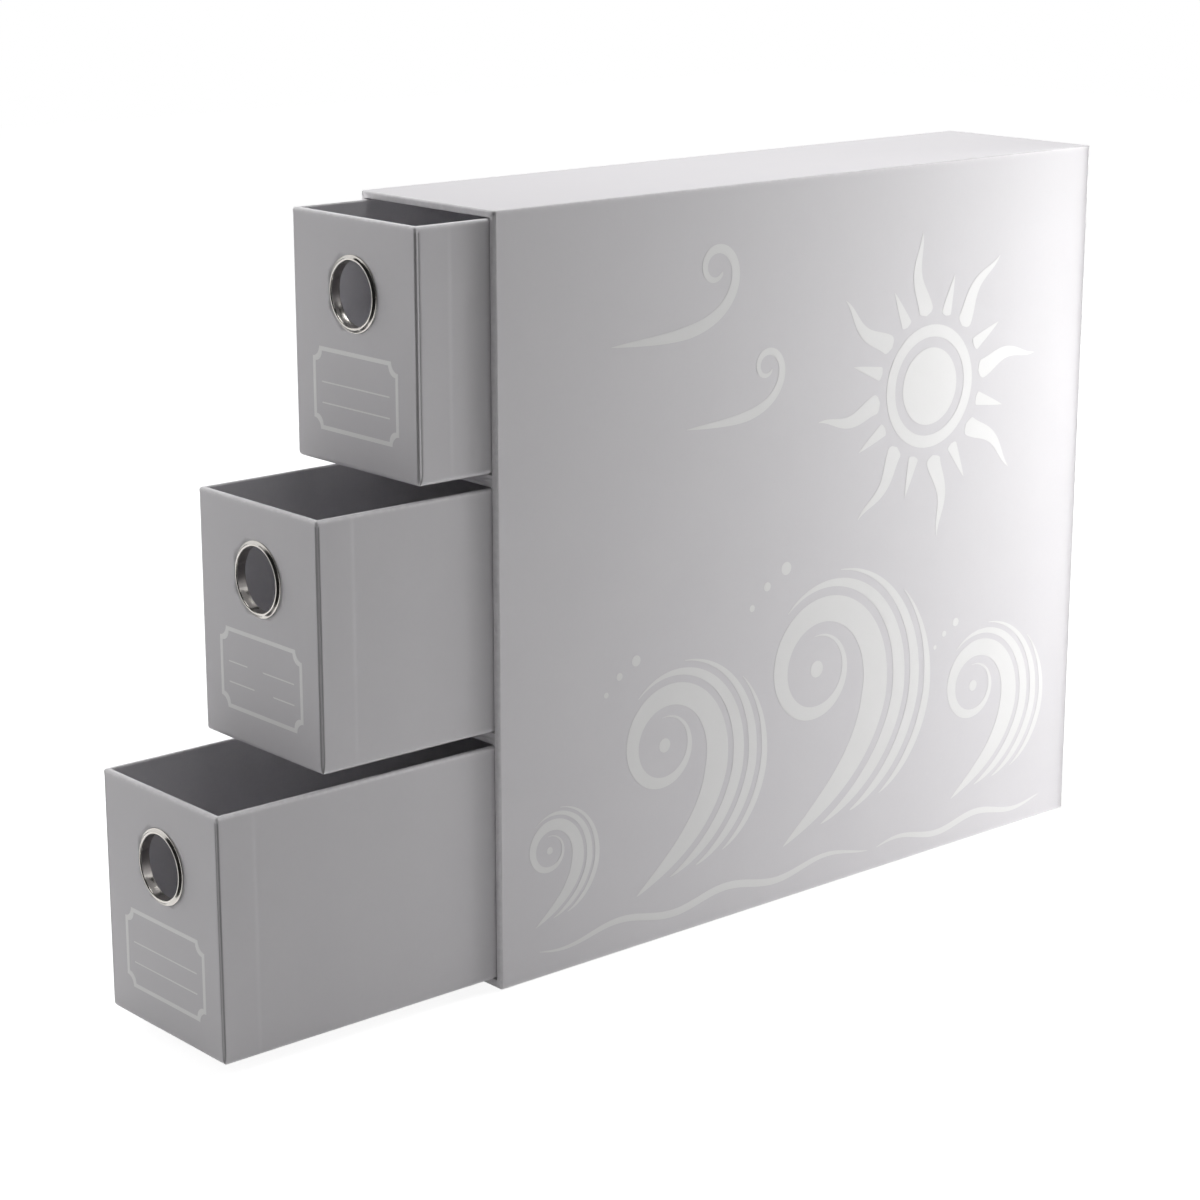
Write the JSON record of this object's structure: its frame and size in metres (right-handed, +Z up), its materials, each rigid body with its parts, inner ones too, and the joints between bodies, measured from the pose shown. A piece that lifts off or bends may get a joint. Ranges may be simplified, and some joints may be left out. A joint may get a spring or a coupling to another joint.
{
  "type": "card storage box",
  "caption": "Tall narrow paper-covered storage box with stacked open-topped card drawers, each with a metal finger ring.",
  "frame": {"origin": "centre of the case's underside, where it stands on a table", "axes": "+Z up, -Y towards the front where the drawers open, +X to the right seen from the front"},
  "size_m": [0.083, 0.4703, 0.31],
  "materials": {
    "case_paper": "matte",
    "drawer_paper": "matte",
    "lining_paper": "matte",
    "greyboard": "matte",
    "nickel": "polished"
  },
  "bodies": {
    "case": {"case_left_board": "greyboard", "case_right_board": "greyboard", "case_top_board": "greyboard", "case_floor_board": "greyboard", "case_back_board": "greyboard", "case_wrap": "case_paper", "case_base_sheet": "case_paper", "bottom_bay_lining": "lining_paper", "middle_bay_lining": "lining_paper", "top_bay_lining": "lining_paper", "lower_shelf_lower_board": "greyboard", "lower_shelf_upper_board": "greyboard", "lower_shelf_edge_strip": "case_paper", "upper_shelf_lower_board": "greyboard", "upper_shelf_upper_board": "greyboard", "upper_shelf_edge_strip": "case_paper"},
    "bottom_drawer": {"bottom_drawer_left_board": "greyboard", "bottom_drawer_right_board": "greyboard", "bottom_drawer_front_board": "greyboard", "bottom_drawer_back_board": "greyboard", "bottom_drawer_floor_board": "greyboard", "bottom_drawer_wrap": "drawer_paper", "bottom_drawer_lining": "lining_paper", "bottom_drawer_ring": "nickel", "bottom_drawer_ring_washer": "nickel"},
    "middle_drawer": {"middle_drawer_left_board": "greyboard", "middle_drawer_right_board": "greyboard", "middle_drawer_front_board": "greyboard", "middle_drawer_back_board": "greyboard", "middle_drawer_floor_board": "greyboard", "middle_drawer_wrap": "drawer_paper", "middle_drawer_lining": "lining_paper", "middle_drawer_ring": "nickel", "middle_drawer_ring_washer": "nickel"},
    "top_drawer": {"top_drawer_left_board": "greyboard", "top_drawer_right_board": "greyboard", "top_drawer_front_board": "greyboard", "top_drawer_back_board": "greyboard", "top_drawer_floor_board": "greyboard", "top_drawer_wrap": "drawer_paper", "top_drawer_lining": "lining_paper", "top_drawer_ring": "nickel", "top_drawer_ring_washer": "nickel"}
  },
  "joints": [
    {"name": "bottom_drawer_slide", "type": "slide", "parent": "case", "child": "bottom_drawer", "axis": [0, -1, 0], "range_m": [-0.1291, 0.2074]},
    {"name": "middle_drawer_slide", "type": "slide", "parent": "case", "child": "middle_drawer", "axis": [0, -1, 0], "range_m": [-0.0817, 0.2548]},
    {"name": "top_drawer_slide", "type": "slide", "parent": "case", "child": "top_drawer", "axis": [0, -1, 0], "range_m": [-0.0348, 0.3017]}
  ]
}
